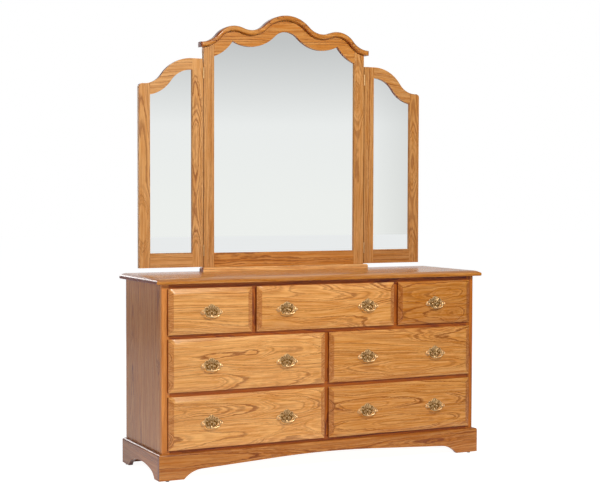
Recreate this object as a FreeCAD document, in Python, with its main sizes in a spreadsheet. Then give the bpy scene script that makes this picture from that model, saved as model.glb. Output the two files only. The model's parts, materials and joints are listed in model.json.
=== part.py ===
"""Oak dresser with seven drawers and a three-part mirror, in millimetres.

X runs across the front, +Y runs to the back, +Z is up. The origin lies on the
floor, below the middle of the whole piece.
"""
import FreeCAD, Part
import math
import os
import re

os.makedirs("parts", exist_ok=True)
doc = FreeCAD.newDocument("dresser")

# Driving dimensions.
SIZES = {
    "case_width": 1524,
    "case_depth": 446,
    "side_board": 20,
    "frame_board": 20,
    "back_board": 6,
    "case_foot": 76,
    # Base.
    "base_height": 112,
    "base_board": 18,
    "base_edge_round": 8,
    "apron_foot": 111,
    "apron_rise": 63,
    "side_foot_front": 58,
    "side_foot_rear": 84,
    "side_rise": 49,
    "glide_height": 4,
    "glide_radius": 8,
    "glide_inset": 40,
    # Top.
    "slab_thickness": 24,
    "slab_side_overhang": 30,
    "slab_front_overhang": 28,
    "slab_edge": 13,
    "slab_bevel": 27,
    "slab_low_round": 4,
    # Drawer fronts.
    "front_thickness": 19,
    "front_edge": 10,
    "bevel_width": 22,
    "front_seat_gap": 0.5,
    "front_lap": 10,
    "edge_margin": 25,
    "column_gap": 20,
    "row_gap": 18,
    "base_gap": 14,
    "top_gap": 19,
    "low_front_height": 222,
    "top_front_height": 192,
    "small_front_width": 380,
    # Drawer boxes and what carries them.
    "box_board": 12,
    "box_bottom": 6,
    "box_bottom_lift": 8,
    "box_rear_gap": 40.5,
    "box_side_gap": 3,
    "box_top_gap": 12,
    "slide_gap": 0.3,
    "runner_width": 40,
    "runner_height": 19,
    "guide_height": 15,
    "dust_board": 5,
    # Pulls.
    "pull_share": 0.294,
    "pull_lowering": 5,
    "pull_boring": 82,
    "plate_margin": 9,
    "plate_rise": 34,
    "plate_drop": 25,
    "plate_thickness": 2.5,
    "boss_radius": 6.5,
    "boss_thickness": 2,
    "post_radius": 2.8,
    "post_length": 12,
    "eye_radius": 5,
    "eye_length": 6,
    "eye_play": 0.3,
    "bolt_radius": 2,
    "bolt_play": 0.2,
    "screw_head_radius": 4.5,
    "screw_head_height": 3,
    "bail_radius": 2.3,
    "bail_pin_depth": 4,
    "bail_bend": 8,
    "bail_straight": 2,
    "bail_drop": 20,
    # Mirrors.
    "ledge_height": 19,
    "ledge_front_overhang": 25,
    "ledge_side_overhang": 12,
    "ledge_round": 7,
    "mirror_board": 22,
    "mirror_stile": 51,
    "mirror_rail": 65,
    "mirror_half_width": 409,
    "mirror_height": 1149,
    "mirror_lip": 9,
    "mirror_rebate": 8,
    "glass_thickness": 4,
    "glass_play": 0.5,
    "glass_crown": 74,
    "backing_board": 6,
    "crest_thickness": 23,
    "crest_front_overhang": 20,
    "crest_side_overhang": 18,
    "crest_round": 9,
    "wing_width": 302,
    "wing_drop": 217,
    "wing_lift": 2,
    "wing_corner": 16,
    "joint_gap": 3,
    "cleat_board": 19,
    "cleat_height": 60,
    "cleat_end": 20,
    "cleat_low": 25,
    "support_board": 19,
    "support_width": 60,
    "support_inset": 80,
    "support_foot": 420,
    "support_height": 1220,
    # Wing hinges.
    "hinge_height": 50,
    "hinge_low": 50,
    "hinge_drop": 88,
    "knuckle_radius": 3.2,
    "knuckle_gap": 0.4,
    "knuckle_count": 5,
    "hinge_face_gap": 0.2,
    "hinge_pin_radius": 1.6,
    "leaf_board": 1.2,
    "leaf_depth": 20,
}

# Places and sizes that follow from the driving dimensions.
PLACES = {
    "case_half": "case_width / 2",
    "base_half": "case_half + base_board",
    "pull_axis_reach": "front_seat_gap + front_thickness + plate_thickness + post_length",
    "front_reach": "pull_axis_reach + eye_radius",
    "face_y": "front_reach - (front_reach + case_depth + support_board) / 2",
    "back_y": "face_y + case_depth",
    "front_back_y": "face_y - front_seat_gap",
    "box_length": "case_depth + front_seat_gap - back_board - box_rear_gap",
    "front_field_y": "front_back_y - front_thickness",
    "bottom_row_z": "base_height + base_gap",
    "middle_row_z": "bottom_row_z + low_front_height + row_gap",
    "top_row_z": "middle_row_z + low_front_height + row_gap",
    "case_top_z": "top_row_z + top_front_height + top_gap",
    "slab_top_z": "case_top_z + slab_thickness",
    "low_front_width": "(case_width - 2 * edge_margin - column_gap) / 2",
    "middle_front_width": "case_width - 2 * (edge_margin + small_front_width + column_gap)",
    "pull_inner": "pull_share * middle_front_width",
    "low_column_x": "(low_front_width + column_gap) / 2",
    "small_column_x": "case_half - edge_margin - small_front_width / 2",
    "divider_width": "column_gap + 2 * front_lap",
    "stile_width": "edge_margin + front_lap",
    "short_stile_x": "small_column_x - (small_front_width + column_gap) / 2",
    "inner_half": "case_half - side_board",
    "guide_width": "stile_width - side_board",
    "runner_y": "face_y + frame_board",
    "runner_length": "case_depth - frame_board - back_board",
    "axis_y": "face_y - pull_axis_reach",
    "eye_inner": "pull_boring / 2 - eye_length / 2",
    "plate_half_width": "pull_boring / 2 + plate_margin",
    "mirror_z": "slab_top_z + ledge_height",
    "mirror_back_y": "back_y - cleat_board",
    "mirror_y": "mirror_back_y - mirror_board",
    "mirror_glass_y": "mirror_y + mirror_lip",
    "mirror_opening_half": "mirror_half_width - mirror_stile",
    "wing_z": "mirror_z + wing_lift",
    "wing_height": "mirror_height - wing_drop",
    "hinge_high": "wing_height - hinge_drop",
    "wing_inner_x": "mirror_half_width + joint_gap",
    "hinge_x": "mirror_half_width + joint_gap / 2",
    "hinge_y": "mirror_y - knuckle_radius - hinge_face_gap",
    "knuckle_pitch": "(hinge_height + knuckle_gap) / knuckle_count",
    "knuckle_length": "knuckle_pitch - knuckle_gap",
}

# The crest, from its middle outwards: radius as a share of the mirror's half
# width, and turn in degrees, to the right when negative.
CREST_ARC_SHARES = (
    (0.389, -45.3),
    (0.242, 45.3),
    (0.242, 22.2),
    (0.266, -22.2),
    (0.266, -51.0),
    (0.262, 51.0),
)
# The mirror glass follows it with a middle arch and two hanging lobes.
ARCH_RADIUS_SHARE = 0.199
LOBE_RADIUS_SHARE = 0.43
ARCH_TURN = 45.3
SIDE_LOBE_CENTRE_SHARES = (1.028, 0.107)
SIDE_LOBE_RADIUS_SHARE = 0.446
# The wing's top, from its outer shoulder inwards, as shares of the wing's width.
WING_ARC_SHARES = ((0.334, -56.0), (0.563, 56.0))
WING_SHOULDER_SHARE = 0.077
# The arches under the base, as shares of half the opening and of its rise.
APRON_SHARES = ((0.948, 0.42), (0.882, 0.61), (0.3, 0.93))
SIDE_ARCH_SHARES = ((0.89, 0.40), (0.733, 0.66))
# The pull's plate: middle and end points of its arcs, from the top middle round
# to the bottom middle, as shares of its half width and of its rise or drop.
PLATE_ARC_SHARES = (
    ((0.18, 0.91), (0.30, 0.75)),
    ((0.36, 0.68), (0.44, 0.67)),
    ((0.58, 0.60), (0.66, 0.42)),
    ((0.71, 0.35), (0.78, 0.34)),
    ((0.91, 0.23), (1.00, 0.03)),
    ((0.99, -0.18), (0.90, -0.30)),
    ((0.76, -0.39), (0.62, -0.34)),
    ((0.53, -0.38), (0.48, -0.52)),
    ((0.34, -0.70), (0.19, -0.60)),
    ((0.164, -0.88), (0.0, -1.0)),
)

# Turns of the bail's two arcs on each side, in degrees.
BAIL_TURNS = (70, 20)
# How near to a plane an edge lies that counts as on it.
SNAP = 0.05

# The sheet that each alias is on.
HOME = {}


def fill_sheet(label, rows, lead):
    """Make a sheet with one alias for each row."""
    sheet = doc.addObject("Spreadsheet::Sheet", label)
    for row, (alias, entry) in enumerate(rows.items(), 1):
        sheet.set("A%d" % row, alias)
        HOME[alias] = label
        sheet.set("B%d" % row, lead + (formula(entry) if lead else str(entry)))
        sheet.setAlias("B%d" % row, alias)
    return sheet


def formula(text):
    """Write the sheet's name before each alias of an expression."""
    def with_sheet(match):
        word = match.group(0)
        return HOME[word] + "." + word if word in HOME else word
    return re.sub(r"[a-z_]+", with_sheet, text)


sizes = fill_sheet("Sizes", SIZES, "")
places = fill_sheet("Places", PLACES, "=")
doc.recompute()


def size(text):
    """The number that an expression of aliases gives."""
    return float(sizes.evalExpression(formula(text)))


def bind(piece, **expressions):
    """Bind properties to expressions; x, y and z are the placement's."""
    for name, text in expressions.items():
        path = "Placement.Base." + name if name in ("x", "y", "z") else name
        piece.setExpression(path, formula(text))
    return piece


def board(x, y, z, length, width, height):
    """A straight board with its lowest corner at x, y, z."""
    piece = doc.addObject("Part::Box", "Board")
    return bind(piece, x=x, y=y, z=z, Length=length, Width=width, Height=height)


def pair(x, *rest):
    """A board and its mirror image on the other side of the middle."""
    length = rest[2]
    return [board(x, *rest), board("-(%s) - (%s)" % (x, length), *rest)]


def rod(x, y, z, radius, length, axis):
    """A round bar that starts at x, y, z and runs along an axis."""
    piece = doc.addObject("Part::Cylinder", "Rod")
    upright = FreeCAD.Vector(0, 0, 1)
    piece.Placement.Rotation = FreeCAD.Rotation(upright, FreeCAD.Vector(*axis))
    return bind(piece, x=x, y=y, z=z, Radius=radius, Height=length)


SIDES = (("left", -1), ("right", 1))
ALONG_X = (1, 0, 0)
ALONG_Y = (0, 1, 0)
ALONG_Z = (0, 0, 1)


def fused(pieces):
    """One solid from pieces that share volume."""
    union = doc.addObject("Part::MultiFuse", "Union")
    union.Shapes = pieces
    return union


def cut(base, tools):
    """The base with each tool taken away."""
    for tool in tools:
        rest = doc.addObject("Part::Cut", "Cut")
        rest.Base = base
        rest.Tool = tool
        base = rest
    return base


def common(first, second):
    """What two pieces share."""
    share = doc.addObject("Part::Common", "Share")
    share.Base = first
    share.Tool = second
    return share


NODES = []


def node(label, pieces):
    """A sub-part: one piece, or a group of separate solids."""
    if len(pieces) == 1:
        part = pieces[0]
    else:
        part = doc.addObject("Part::Compound", label)
        part.Links = pieces
    part.Label = label
    NODES.append(part)
    return part


def line(start, end):
    """A straight edge of an outline."""
    return Part.LineSegment(FreeCAD.Vector(*start, 0), FreeCAD.Vector(*end, 0))


def arc(start, middle, end):
    """A round edge of an outline through three points."""
    return Part.Arc(*(FreeCAD.Vector(*point, 0) for point in (start, middle, end)))


def turned(start, heading, radius, turn):
    """An arc that leaves start in a heading and turns, and its end and heading."""
    side = math.copysign(radius, turn)
    centre = (start[0] - side * math.sin(heading), start[1] + side * math.cos(heading))

    def at(angle):
        return (centre[0] + side * math.sin(angle), centre[1] - side * math.cos(angle))
    end = at(heading + turn)
    return arc(start, at(heading + turn / 2), end), end, heading + turn


def arc_chain(start, heading, steps):
    """Tangent arcs in a row, from pairs of radius and turn in degrees."""
    edges = []
    for radius, degrees in steps:
        edge, start, heading = turned(start, heading, radius, math.radians(degrees))
        edges.append(edge)
    return edges, start


def mirrored(edges):
    """The same edges on the other side of the middle."""
    copies = []
    for edge in edges:
        points = [edge.StartPoint, edge.EndPoint]
        flipped = [(-point.x, point.y) for point in points]
        if isinstance(edge, Part.LineSegment):
            copies.append(line(flipped[1], flipped[0]))
        else:
            middle = edge.value((edge.FirstParameter + edge.LastParameter) / 2)
            copies.append(arc(flipped[1], (-middle.x, middle.y), flipped[0]))
    return copies[::-1]


def body_on(plane, edges):
    """A body with a sketch of the edges on one of its origin planes."""
    body = doc.addObject("PartDesign::Body", "Body")
    sketch = body.newObject("Sketcher::SketchObject", "Outline")
    face = next(f for f in body.Origin.OriginFeatures if f.Role == plane)
    sketch.AttachmentSupport = [(face, "")]
    sketch.MapMode = "FlatFace"
    sketch.addGeometry(edges, False)
    sketch.Visibility = False
    return body, sketch


def padded(edges, depth, plane="XZ_Plane", to_back=True, **place):
    """A plate with a drawn outline, upright and facing the front unless told."""
    body, sketch = body_on(plane, edges)
    pad = body.newObject("PartDesign::Pad", "Pad")
    pad.Profile = sketch
    pad.Reversed = to_back
    bind(pad, Length=depth)
    body.Tip = pad
    bind(body, **place)
    doc.recompute()
    return body


def rounded(body, radius, keep):
    """Round the edges of the body's tip that keep chooses."""
    base = body.Tip
    names = ["Edge%d" % number for number, edge in enumerate(base.Shape.Edges, 1) if keep(edge)]
    fillet = body.newObject("PartDesign::Fillet", "Round")
    fillet.Base = (base, names)
    bind(fillet, Radius=radius)
    body.Tip = fillet
    doc.recompute()
    return body


def level(edge, axis, place):
    """Whether the whole edge lies at one place along an axis (0, 1 or 2)."""
    box = edge.BoundBox
    low = (box.XMin, box.YMin, box.ZMin)[axis]
    high = (box.XMax, box.YMax, box.ZMax)[axis]
    return abs(low - place) < SNAP and abs(high - place) < SNAP


def rectangle(x0, z0, x1, z1):
    """The four edges of a rectangle."""
    corners = ((x0, z0), (x1, z0), (x1, z1), (x0, z1))
    return [line(corners[i - 1], corners[i]) for i in range(len(corners))]


def closed(points, edges):
    """Edges, then straight lines through the points back to the first edge."""
    ends = [(edges[-1].EndPoint.x, edges[-1].EndPoint.y)] + list(points)
    ends.append((edges[0].StartPoint.x, edges[0].StartPoint.y))
    return edges + [line(a, b) for a, b in zip(ends, ends[1:])]


def make_case():
    """Sides, back, top and the frame round the drawers."""
    height = "case_top_z - case_foot"
    depth = "case_depth - frame_board"
    for label, x in (("case_side_left", "-case_half"), ("case_side_right", "inner_half")):
        node(label, [board(x, "runner_y", "case_foot", "side_board", depth, height)])
    node("case_back", [board("-inner_half", "back_y - back_board", "case_foot",
                             "2 * inner_half", "back_board", height)])

    stiles = pair("case_half - stile_width", "face_y", "case_foot",
                  "stile_width", "frame_board", height)
    for row in ("bottom_row_z", "middle_row_z"):
        stiles.append(board("-divider_width / 2", "face_y", row + " + front_lap", "divider_width",
                            "frame_board", "low_front_height - 2 * front_lap"))
    stiles += pair("short_stile_x - divider_width / 2", "face_y", "top_row_z + front_lap",
                   "divider_width", "frame_board", "top_front_height - 2 * front_lap")
    node("face_frame_stiles", stiles)

    rails = (
        ("case_foot", "bottom_row_z + front_lap - case_foot"),
        ("middle_row_z - row_gap - front_lap", "row_gap + 2 * front_lap"),
        ("top_row_z - row_gap - front_lap", "row_gap + 2 * front_lap"),
        ("case_top_z - top_gap - front_lap", "top_gap + front_lap"),
    )
    node("face_frame_rails", [
        board("stile_width - case_half", "face_y", z, "case_width - 2 * stile_width",
              "frame_board", high) for z, high in rails])

    half = size("case_half + slab_side_overhang")
    front = size("face_y - slab_front_overhang")
    back = size("back_y")
    slab = padded(rectangle(-half, front, half, back), "slab_edge", "XY_Plane", False,
                  z="case_top_z")
    rounded(slab, "slab_low_round", lambda edge: level(edge, 2, 0) and not level(edge, 1, back))
    # The wedge stands on its back face: its height runs up, its depth to the front.
    bevel = slab.newObject("PartDesign::AdditiveWedge", "Bevel")
    wide = "2 * (case_half + slab_side_overhang)"
    deep = "back_y - face_y + slab_front_overhang"
    bind(bevel, Xmin="0", Xmax=wide, X2min="slab_bevel", X2max=wide + " - slab_bevel",
         Zmin="0", Zmax=deep, Z2min="0", Z2max=deep + " - slab_bevel",
         Ymin="slab_edge", Ymax="slab_thickness",
         x="-case_half - slab_side_overhang", y="back_y")
    bevel.Placement.Rotation = FreeCAD.Rotation(FreeCAD.Vector(*ALONG_X), 90)
    slab.Tip = bevel
    node("case_top", [slab])


def make_inside():
    """What carries the drawers, with thin panels between the rows."""
    strips = []
    panels = []
    for row, centres in (("bottom_row_z", ("0",)),
                         ("middle_row_z", ("0",)),
                         ("top_row_z", ("-short_stile_x", "short_stile_x"))):
        top = row + " + front_lap"
        under = top + " - runner_height"
        strips += pair("inner_half - runner_width", "runner_y", under,
                       "runner_width", "runner_length", "runner_height")
        strips += pair("inner_half - guide_width", "runner_y", top,
                       "guide_width", "runner_length", "guide_height")
        ends = ["-inner_half + runner_width"]
        for centre in centres:
            strips.append(board(centre + " - runner_width / 2", "runner_y", under,
                                "runner_width", "runner_length", "runner_height"))
            strips.append(board(centre + " - divider_width / 2", "runner_y", top,
                                "divider_width", "runner_length", "guide_height"))
            ends += [centre + " - runner_width / 2", centre + " + runner_width / 2"]
        ends.append("inner_half - runner_width")
        for left, right in zip(ends[::2], ends[1::2]):
            panels.append(board(left, "runner_y", under, "(%s) - (%s)" % (right, left),
                                "runner_length", "dust_board"))
    node("drawer_runners", strips)
    node("dust_panels", panels)


def arch(half, rise, shares):
    """Half an arch of the base, from its foot to the point before its middle."""
    points = [(half * across, rise * up) for across, up in shares]
    edges = [arc((half, 0), points[0], points[1])]
    return edges, points[2:] or points[1:]


def base_outline(start, half, rise, shares, end, high):
    """A base board with an arch between its feet, centred on the arch."""
    right, last = arch(half, rise, shares)
    crown = last[0]
    if len(shares) > 2:
        right.append(line((right[-1].EndPoint.x, right[-1].EndPoint.y), crown))
    middle = [arc(crown, (0, rise), (-crown[0], crown[1]))]
    return closed(((start, 0), (start, high), (end, high), (end, 0)),
                  right + middle + mirrored(right))


def make_base():
    """The base boards with their arches, and the glides under their feet."""
    high = size("base_height - glide_height")
    wide = size("base_half")
    edges = base_outline(-wide, size("base_half - apron_foot"), size("apron_rise"),
                         APRON_SHARES, wide, high)
    apron = padded(edges, "base_board", y="face_y - base_board", z="glide_height")
    rounded(apron, "base_edge_round", lambda edge: level(edge, 2, high) and (
        level(edge, 1, 0) or level(edge, 0, wide) or level(edge, 0, -wide)))
    node("base_front_apron", [apron])

    front = size("face_y")
    back = size("back_y")
    foot_end = size("face_y - base_board + side_foot_front")
    rear_end = size("back_y - side_foot_rear")
    middle = (foot_end + rear_end) / 2
    edges = base_outline(front - middle, (rear_end - foot_end) / 2, size("side_rise"),
                         SIDE_ARCH_SHARES, back - middle, high)
    sides = []
    for x, outer in (("-base_half", 0), ("case_half", size("base_board"))):
        side = padded(edges, "base_board", "YZ_Plane", False, x=x, z="glide_height",
                      y="(face_y - base_board + side_foot_front + back_y - side_foot_rear) / 2")
        rounded(side, "base_edge_round",
                lambda edge: level(edge, 2, high) and level(edge, 0, outer))
        sides.append(side)
    sides.append(board("-case_half", "back_y - base_board", "glide_height", "case_width",
                       "base_board", "case_foot - glide_height"))
    node("base_side_boards", sides)

    glides = []
    for x, y in (("base_half - glide_inset", "face_y - base_board / 2"),
                 ("case_half + base_board / 2", "back_y - glide_inset")):
        for side in ("", "-"):
            glides.append(rod(side + "(" + x + ")", y, "0", "glide_radius", "glide_height",
                              ALONG_Z))
    node("foot_glides", glides)


def bolt_places(pulls):
    """The sideways places of the two bolts of each pull."""
    return ["%s %s pull_boring / 2" % (x, side) for x in pulls for side in "-+"]


def make_drawer(name, x, z, width, height, pulls):
    """A front with bevelled edges, its box, and the plates of its pulls."""
    body = doc.addObject("PartDesign::Body", "Front")
    slab = body.newObject("PartDesign::AdditiveBox", "Edge")
    bind(slab, Length=width, Width="front_edge", Height=height, y="front_thickness - front_edge")
    field = body.newObject("PartDesign::AdditiveWedge", "Field")
    bind(field, Xmin="bevel_width", Xmax="(%s) - bevel_width" % width, X2min="0", X2max=width,
         Zmin="bevel_width", Zmax="(%s) - bevel_width" % height, Z2min="0", Z2max=height,
         Ymin="0", Ymax="front_thickness - front_edge")
    body.Tip = field
    left = "%s - (%s) / 2" % (x, width)
    bind(body, x=left, y="front_field_y", z=z)
    pull_z = "%s + (%s) / 2 - pull_lowering" % (z, height)

    def holes():
        return [rod(place, "front_field_y", pull_z, "bolt_radius + bolt_play",
                    "front_thickness + box_board", ALONG_Y) for place in bolt_places(pulls)]
    node("drawer_front_" + name, [cut(body, holes())])

    wide = "(%s) - 2 * (front_lap + box_side_gap)" % width
    high = "(%s) - 2 * front_lap - slide_gap - box_top_gap" % height
    first = "%s - (%s) / 2" % (x, wide)
    low = z + " + front_lap + slide_gap"
    inside = "%s - 2 * box_board" % wide
    node("drawer_box_" + name, [
        board(first, "front_back_y", low, "box_board", "box_length", high),
        board("%s + %s - box_board" % (first, wide), "front_back_y", low,
              "box_board", "box_length", high),
        cut(board(first + " + box_board", "front_back_y", low, inside, "box_board", high),
            holes()),
        board(first + " + box_board", "front_back_y + box_length - box_board", low,
              inside, "box_board", high),
        board(first + " + box_board", "front_back_y + box_board", low + " + box_bottom_lift",
              inside, "box_length - 2 * box_board", "box_bottom"),
    ])
    pieces = []
    for pull in pulls:
        pieces += pull_pieces(pull, pull_z)
    node("pull_plates_" + name, pieces)


def plate_outline():
    """The pull's plate: a scalloped dome, two wings and a round drop."""
    wide = size("plate_half_width")
    edges = []
    start = (0, size("plate_rise"))
    for shares in PLATE_ARC_SHARES:
        middle, end = [(wide * across, up * size("plate_rise" if up > 0 else "plate_drop"))
                       for across, up in shares]
        edges.append(arc(start, middle, end))
        start = end
    holes = [Part.Circle(FreeCAD.Vector(side * size("pull_boring / 2"), 0, 0),
                         FreeCAD.Vector(0, 0, 1), size("bolt_radius + bolt_play"))
             for side in (-1, 1)]
    return edges + mirrored(edges) + holes


def pull_pieces(x, z):
    """One pull's plate, its two posts with eyes, and the screws from inside."""
    pieces = [padded(plate_outline(), "plate_thickness", x=x, z=z,
                     y="front_field_y - plate_thickness")]
    for place in bolt_places([x]):
        front = "front_field_y - plate_thickness"
        boss = rod(place, front + " - boss_thickness", z, "boss_radius", "boss_thickness", ALONG_Y)
        post = rod(place, "axis_y", z, "post_radius", "post_length", ALONG_Y)
        eye = rod(place + " - eye_length / 2", "axis_y", z, "eye_radius", "eye_length", ALONG_X)
        bore = rod(place + " - eye_length / 2", "axis_y", z, "bail_radius + eye_play",
                   "eye_length", ALONG_X)
        pieces.append(cut(fused([boss, post, eye]), [bore]))
        inside = "front_back_y + box_board"
        shank = rod(place, front, z, "bolt_radius", "%s - (%s)" % (inside, front), ALONG_Y)
        head = rod(place, inside, z, "screw_head_radius", "screw_head_height", ALONG_Y)
        pieces.append(fused([shank, head]))
    return pieces


def bail_path():
    """The bail's middle line, from one eye down and round to the other."""
    pin = size("bail_pin_depth + eye_play")
    start = (size("eye_inner + bail_pin_depth"), 0)
    knee = (start[0] - pin, 0)
    bend, low, heading = turned(knee, math.pi, size("bail_bend"), math.pi / 2)
    drop = (low[0], low[1] - size("bail_straight"))
    tight, wide = (math.radians(turn) for turn in BAIL_TURNS)
    # Radii of the two arcs that reach the middle at the full drop.
    across = (1 - math.cos(tight), math.cos(tight) - math.cos(tight + wide))
    down = (math.sin(tight), math.sin(tight + wide) - math.sin(tight))
    depth = size("bail_drop") + drop[1]
    scale = across[0] * down[1] - across[1] * down[0]
    radii = ((drop[0] * down[1] - across[1] * depth) / scale,
             (across[0] * depth - drop[0] * down[0]) / scale)
    half = [line(start, knee), bend, line(low, drop)]
    for radius, turn in zip(radii, (tight, wide)):
        edge, drop, heading = turned(drop, heading, radius, -turn)
        half.append(edge)
    return half + mirrored(half)


def make_bail(label, x, z):
    """A round bar bent along the bail's middle line."""
    path = doc.addObject("Sketcher::SketchObject", "Path")
    path.addGeometry(bail_path(), False)
    path.Placement.Rotation = FreeCAD.Rotation(FreeCAD.Vector(*ALONG_X), 90)
    section = doc.addObject("Part::Circle", "Section")
    section.Placement.Rotation = FreeCAD.Rotation(FreeCAD.Vector(*ALONG_Z),
                                                  FreeCAD.Vector(*ALONG_X))
    bind(section, Radius="bail_radius", x="eye_inner + bail_pin_depth")
    doc.recompute()
    bail = doc.addObject("Part::Sweep", "Bail")
    bail.Sections = [section]
    bail.Spine = (path, ["Edge%d" % number for number in range(1, len(path.Shape.Edges) + 1)])
    bail.Solid = True
    bind(bail, x=x, y="axis_y", z=z)
    node(label, [bail])


def crest_chain(inset):
    """The crest's curve from its middle outwards, moved down by the inset."""
    reach = sum(share * abs(math.sin(math.radians(turn))) for share, turn in CREST_ARC_SHARES)
    unit = size("mirror_half_width + crest_side_overhang") / reach
    start = (0, size("mirror_height") - inset)
    steps = [(share * unit + math.copysign(inset, turn), turn)
             for share, turn in CREST_ARC_SHARES]
    return arc_chain(start, 0, steps)


def both_halves(edges):
    """A curve from the middle outwards, as one curve from left to right."""
    return mirrored(edges) + edges


def crest_outline():
    """A band that follows the crest's curve, as thick as its moulding."""
    upper, tip = crest_chain(0)
    lower, low_tip = crest_chain(size("crest_thickness"))
    under = [reversed_edge(edge) for edge in both_halves(lower)[::-1]]
    ends = [line(tip, low_tip), line((-low_tip[0], low_tip[1]), (-tip[0], tip[1]))]
    return both_halves(upper) + ends[:1] + under + ends[1:]


def reversed_edge(edge):
    """The same edge, run the other way."""
    middle = edge.value((edge.FirstParameter + edge.LastParameter) / 2)
    return arc((edge.EndPoint.x, edge.EndPoint.y), (middle.x, middle.y),
               (edge.StartPoint.x, edge.StartPoint.y))


def circle_edge(centre, radius, start, end):
    """The short way round a circle from start to end."""
    across = (start[0] + end[0]) / 2 - centre[0]
    up = (start[1] + end[1]) / 2 - centre[1]
    reach = radius / math.hypot(across, up)
    return arc(start, (centre[0] + across * reach, centre[1] + up * reach), end)


def lower_crossing(first, first_radius, second, second_radius):
    """The lower of the two points where two circles cross."""
    across = (second[0] - first[0], second[1] - first[1])
    apart = math.hypot(*across)
    along = (apart ** 2 + first_radius ** 2 - second_radius ** 2) / (2 * apart)
    off = math.sqrt(first_radius ** 2 - along ** 2)
    unit = (across[0] / apart, across[1] / apart)
    return (first[0] + along * unit[0] + off * unit[1], first[1] + along * unit[1] - off * unit[0])


def centre_opening(spread):
    """The middle mirror's opening, widened all round by the spread."""
    wide = size("mirror_half_width")
    crown = size("mirror_height - glass_crown")
    turn = math.radians(ARCH_TURN)
    arch_radius = ARCH_RADIUS_SHARE * wide
    arch_centre = (0, crown - arch_radius)
    lobe_radius = LOBE_RADIUS_SHARE * wide
    reach = arch_radius + lobe_radius
    lobe_centre = (reach * math.sin(turn), arch_centre[1] + reach * math.cos(turn))
    side_centre = (SIDE_LOBE_CENTRE_SHARES[0] * wide, crown + SIDE_LOBE_CENTRE_SHARES[1] * wide)
    side_radius = SIDE_LOBE_RADIUS_SHARE * wide

    near = arch_radius + spread
    top = (0, arch_centre[1] + near)
    bend = (near * math.sin(turn), arch_centre[1] + near * math.cos(turn))
    cusp = lower_crossing(lobe_centre, lobe_radius - spread, side_centre, side_radius - spread)
    edge_x = size("mirror_opening_half") + spread
    rise = math.sqrt((side_radius - spread) ** 2 - (side_centre[0] - edge_x) ** 2)
    side = (edge_x, side_centre[1] - rise)
    half = [circle_edge(arch_centre, near, top, bend),
            circle_edge(lobe_centre, lobe_radius - spread, bend, cusp),
            circle_edge(side_centre, side_radius - spread, cusp, side)]
    low = size("mirror_rail") - spread
    return closed(((edge_x, low), (-edge_x, low)), both_halves(half))


def mirror_members(members, outer, opening, rebate):
    """Boards of a mirror's frame, shaped by its outline, opening and rebate."""
    return [cut(common(outer, member), [opening, rebate]) for member in members]


def make_centre_mirror():
    """The middle mirror: ledge, frame, glass, backing and crest."""
    lower, tip = crest_chain(size("crest_thickness"))
    under = [reversed_edge(edge) for edge in both_halves(lower)[::-1]]
    outer = padded(closed(((-tip[0], 0), (tip[0], 0)), under), "mirror_board",
                   y="mirror_y", z="mirror_z")
    opening = padded(centre_opening(0), "mirror_board", y="mirror_y", z="mirror_z")
    rebate = padded(centre_opening(size("mirror_rebate")), "mirror_board - mirror_lip",
                    y="mirror_glass_y", z="mirror_z")
    stiles = pair("mirror_opening_half", "mirror_y", "mirror_z", "mirror_stile",
                  "mirror_board", "mirror_height")
    node("centre_mirror_stiles", mirror_members(stiles, outer, opening, rebate))
    rails = [board("-mirror_opening_half", "mirror_y", z, "2 * mirror_opening_half",
                   "mirror_board", high)
             for z, high in (("mirror_z", "mirror_rail"),
                             ("mirror_z + mirror_rail", "mirror_height - mirror_rail"))]
    node("centre_mirror_rails", mirror_members(rails, outer, opening, rebate))

    pane = centre_opening(size("mirror_rebate - glass_play"))
    node("centre_mirror_glass", [
        padded(pane, "glass_thickness", y="mirror_glass_y", z="mirror_z")])
    node("centre_mirror_back", [
        padded(pane, "backing_board", y="mirror_glass_y + glass_thickness", z="mirror_z")])

    crest = padded(crest_outline(), "mirror_board + crest_front_overhang",
                   y="mirror_y - crest_front_overhang", z="mirror_z")
    rounded(crest, "crest_round", lambda edge: level(edge, 1, 0))
    node("crest_moulding", [crest])

    half = size("mirror_half_width + ledge_side_overhang")
    front = size("mirror_y - ledge_front_overhang")
    back = size("mirror_back_y")
    thick = size("ledge_height")
    ledge = padded(rectangle(-half, front, half, back), "ledge_height", "XY_Plane", False,
                   z="slab_top_z")
    rounded(ledge, "ledge_round", lambda edge: level(edge, 2, thick) and not level(edge, 1, back))
    node("mirror_base_board", [ledge])

    posts = pair("mirror_half_width - support_inset - support_width", "back_y", "support_foot",
                 "support_width", "support_board", "support_height")
    cleats = [board("cleat_end - mirror_half_width", "mirror_back_y", z,
                    "2 * (mirror_half_width - cleat_end)", "cleat_board", "cleat_height")
              for z in ("mirror_z + cleat_low",
                        "support_foot + support_height - cleat_height")]
    node("mirror_support_frame", posts + cleats)


def wing_outline(inset):
    """The right wing's outline from its hinge side, moved in from its edge."""
    wide = size("wing_width")
    steps = [(share * wide + math.copysign(inset, -turn), turn)
             for share, turn in WING_ARC_SHARES]
    rise = sum(radius * (1 - math.cos(math.radians(turn))) for radius, turn in steps)
    shoulder = size("wing_height") - inset - rise
    start = (wide * (1 - WING_SHOULDER_SHARE), shoulder)
    top, end = arc_chain(start, math.pi, steps)
    if inset:
        corner = [line((wide, shoulder), start)]
    else:
        round_off = size("wing_corner")
        low = (wide, shoulder - round_off)
        edge, high, heading = turned(low, math.pi / 2, round_off, math.pi / 2)
        corner = [edge, line(high, start)]
    return closed(((0, end[1]), (0, 0), (wide, 0)), corner + top)


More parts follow.
